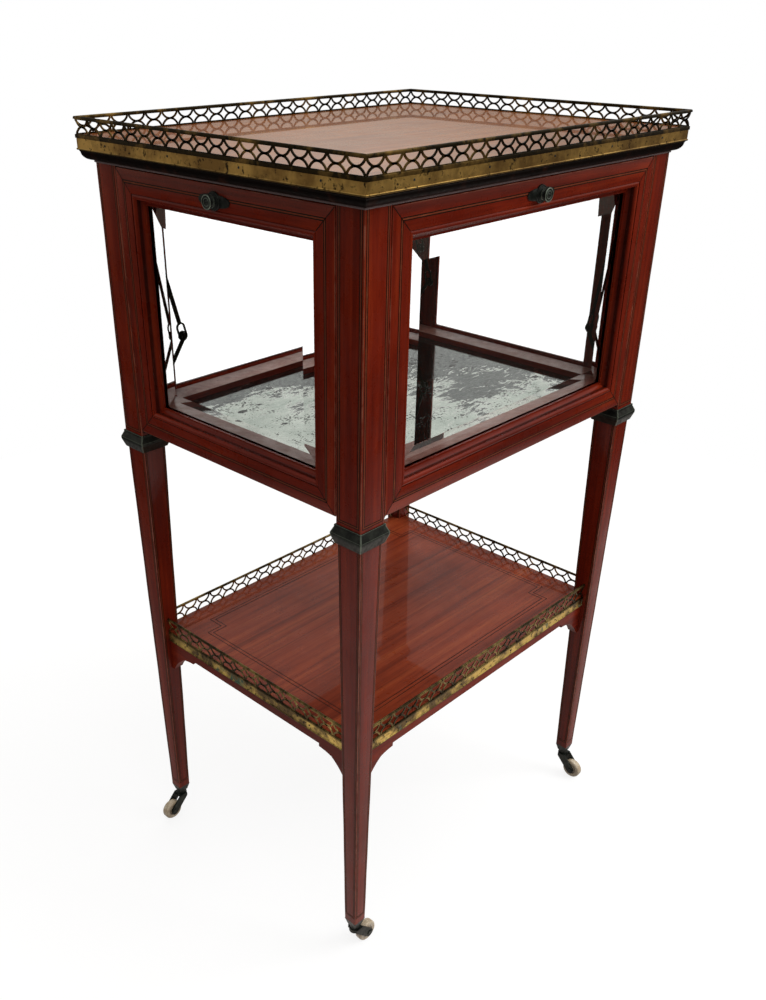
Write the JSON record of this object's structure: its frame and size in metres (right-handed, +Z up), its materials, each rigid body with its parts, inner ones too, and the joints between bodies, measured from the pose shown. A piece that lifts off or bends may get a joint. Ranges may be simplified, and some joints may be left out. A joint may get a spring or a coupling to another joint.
{
  "type": "drinks table",
  "caption": "Small mahogany drinks table: a glazed cabinet with fall-front doors and stays under a pierced brass gallery, over a galleried shelf on tapered castor legs.",
  "frame": {"origin": "on the floor under the middle of the table", "axes": "+Z up; the wide glazed front faces -Y and a narrow side faces -X"},
  "size_m": [0.4768, 0.375, 0.848],
  "materials": {
    "mahogany": "french polished",
    "ebonised_wood": "ebonised, polished",
    "backboard_wood": "planed, unpolished",
    "gallery_brass": "aged, part tarnished",
    "stay_brass": "dark, unpolished",
    "dark_bronze": "dark bronze patina",
    "bevelled_glass": "polished",
    "mirror_glass": "foxed silvering",
    "porcelain": "glazed, crazed"
  },
  "bodies": {
    "carcass": {"leg_front_left": "mahogany", "leg_front_right": "mahogany", "leg_back_right": "mahogany", "leg_back_left": "mahogany", "leg_collars": "dark_bronze", "top_board": "mahogany", "top_edge_moulding": "ebonised_wood", "top_gallery_bands": "gallery_brass", "top_galleries": "gallery_brass", "top_door_stops": "mahogany", "cabinet_floor_frame": "mahogany", "floor_mirror": "mirror_glass", "mirror_backboard": "backboard_wood", "shelf_board": "mahogany", "shelf_aprons": "mahogany", "shelf_gallery_bands": "gallery_brass", "shelf_galleries": "gallery_brass", "gallery_pins": "gallery_brass", "stay_studs": "stay_brass", "castor_cups": "dark_bronze"},
    "front_door": {"front_door_frame": "mahogany", "front_door_glass": "bevelled_glass", "front_door_beads": "mahogany", "front_door_knob": "dark_bronze", "front_door_fittings": "stay_brass"},
    "front_stay_upper": {"front_stay_upper_arm": "stay_brass"},
    "front_stay_lower": {"front_stay_lower_arm": "stay_brass"},
    "right_door": {"right_door_frame": "mahogany", "right_door_glass": "bevelled_glass", "right_door_beads": "mahogany", "right_door_knob": "dark_bronze", "right_door_fittings": "stay_brass"},
    "right_stay_upper": {"right_stay_upper_arm": "stay_brass"},
    "right_stay_lower": {"right_stay_lower_arm": "stay_brass"},
    "back_door": {"back_door_frame": "mahogany", "back_door_glass": "bevelled_glass", "back_door_beads": "mahogany", "back_door_knob": "dark_bronze", "back_door_fittings": "stay_brass"},
    "back_stay_upper": {"back_stay_upper_arm": "stay_brass"},
    "back_stay_lower": {"back_stay_lower_arm": "stay_brass"},
    "left_door": {"left_door_frame": "mahogany", "left_door_glass": "bevelled_glass", "left_door_beads": "mahogany", "left_door_knob": "dark_bronze", "left_door_fittings": "stay_brass"},
    "left_stay_upper": {"left_stay_upper_arm": "stay_brass"},
    "left_stay_lower": {"left_stay_lower_arm": "stay_brass"},
    "castor_front_left": {"castor_horn_front_left": "dark_bronze", "castor_axle_front_left": "dark_bronze"},
    "wheel_front_left": {"castor_wheel_front_left": "porcelain"},
    "castor_front_right": {"castor_horn_front_right": "dark_bronze", "castor_axle_front_right": "dark_bronze"},
    "wheel_front_right": {"castor_wheel_front_right": "porcelain"},
    "castor_back_right": {"castor_horn_back_right": "dark_bronze", "castor_axle_back_right": "dark_bronze"},
    "wheel_back_right": {"castor_wheel_back_right": "porcelain"},
    "castor_back_left": {"castor_horn_back_left": "dark_bronze", "castor_axle_back_left": "dark_bronze"},
    "wheel_back_left": {"castor_wheel_back_left": "porcelain"}
  },
  "joints": [
    {"name": "front_door_fall", "type": "hinge", "parent": "carcass", "child": "front_door", "pos_m": [0, -0.1625, 0.558], "axis": [1, 0, 0], "range_deg": [0, 90]},
    {"name": "front_stay_upper_swing", "type": "hinge", "parent": "carcass", "child": "front_stay_upper", "pos_m": [-0.1915, -0.1475, 0.786], "axis": [1, 0, 0], "range_deg": [-17, 1]},
    {"name": "front_stay_lower_swing", "type": "hinge", "parent": "front_door", "child": "front_stay_lower", "pos_m": [-0.1915, -0.1475, 0.581], "axis": [1, 0, 0], "range_deg": [-88, 1]},
    {"name": "right_door_fall", "type": "hinge", "parent": "carcass", "child": "right_door", "pos_m": [0.215, 0, 0.558], "axis": [0, 1, 0], "range_deg": [0, 90]},
    {"name": "right_stay_upper_swing", "type": "hinge", "parent": "carcass", "child": "right_stay_upper", "pos_m": [0.2, -0.139, 0.786], "axis": [0, 1, 0], "range_deg": [-17, 1]},
    {"name": "right_stay_lower_swing", "type": "hinge", "parent": "right_door", "child": "right_stay_lower", "pos_m": [0.2, -0.139, 0.581], "axis": [0, 1, 0], "range_deg": [-88, 1]},
    {"name": "back_door_fall", "type": "hinge", "parent": "carcass", "child": "back_door", "pos_m": [0, 0.1625, 0.558], "axis": [-1, 0, 0], "range_deg": [0, 90]},
    {"name": "back_stay_upper_swing", "type": "hinge", "parent": "carcass", "child": "back_stay_upper", "pos_m": [0.1915, 0.1475, 0.786], "axis": [-1, 0, 0], "range_deg": [-17, 1]},
    {"name": "back_stay_lower_swing", "type": "hinge", "parent": "back_door", "child": "back_stay_lower", "pos_m": [0.1915, 0.1475, 0.581], "axis": [-1, 0, 0], "range_deg": [-88, 1]},
    {"name": "left_door_fall", "type": "hinge", "parent": "carcass", "child": "left_door", "pos_m": [-0.215, 0, 0.558], "axis": [0, -1, 0], "range_deg": [0, 90]},
    {"name": "left_stay_upper_swing", "type": "hinge", "parent": "carcass", "child": "left_stay_upper", "pos_m": [-0.2, 0.139, 0.786], "axis": [0, -1, 0], "range_deg": [-17, 1]},
    {"name": "left_stay_lower_swing", "type": "hinge", "parent": "left_door", "child": "left_stay_lower", "pos_m": [-0.2, 0.139, 0.581], "axis": [0, -1, 0], "range_deg": [-88, 1]},
    {"name": "castor_front_left_swivel", "type": "hinge", "parent": "carcass", "child": "castor_front_left", "pos_m": [-0.21, -0.1575, 0.036], "axis": [0, 0, 1], "continuous": true},
    {"name": "wheel_front_left_roll", "type": "hinge", "parent": "castor_front_left", "child": "wheel_front_left", "pos_m": [-0.1925, -0.1575, 0.0125], "axis": [0, 1, 0], "continuous": true},
    {"name": "castor_front_right_swivel", "type": "hinge", "parent": "carcass", "child": "castor_front_right", "pos_m": [0.21, -0.1575, 0.036], "axis": [0, 0, 1], "continuous": true},
    {"name": "wheel_front_right_roll", "type": "hinge", "parent": "castor_front_right", "child": "wheel_front_right", "pos_m": [0.21, -0.175, 0.0125], "axis": [1, 0, 0], "continuous": true},
    {"name": "castor_back_right_swivel", "type": "hinge", "parent": "carcass", "child": "castor_back_right", "pos_m": [0.21, 0.1575, 0.036], "axis": [0, 0, 1], "continuous": true},
    {"name": "wheel_back_right_roll", "type": "hinge", "parent": "castor_back_right", "child": "wheel_back_right", "pos_m": [0.21, 0.175, 0.0125], "axis": [-1, 0, 0], "continuous": true},
    {"name": "castor_back_left_swivel", "type": "hinge", "parent": "carcass", "child": "castor_back_left", "pos_m": [-0.21, 0.1575, 0.036], "axis": [0, 0, 1], "continuous": true},
    {"name": "wheel_back_left_roll", "type": "hinge", "parent": "castor_back_left", "child": "wheel_back_left", "pos_m": [-0.2275, 0.1575, 0.0125], "axis": [0, -1, 0], "continuous": true}
  ],
  "couplings": [
    {"joint": "front_stay_upper_swing", "follows": "front_door_fall", "ratio": -0.17788},
    {"joint": "front_stay_lower_swing", "follows": "front_door_fall", "ratio": -0.94768},
    {"joint": "right_stay_upper_swing", "follows": "right_door_fall", "ratio": -0.17788},
    {"joint": "right_stay_lower_swing", "follows": "right_door_fall", "ratio": -0.94768},
    {"joint": "back_stay_upper_swing", "follows": "back_door_fall", "ratio": -0.17788},
    {"joint": "back_stay_lower_swing", "follows": "back_door_fall", "ratio": -0.94768},
    {"joint": "left_stay_upper_swing", "follows": "left_door_fall", "ratio": -0.17788},
    {"joint": "left_stay_lower_swing", "follows": "left_door_fall", "ratio": -0.94768}
  ]
}
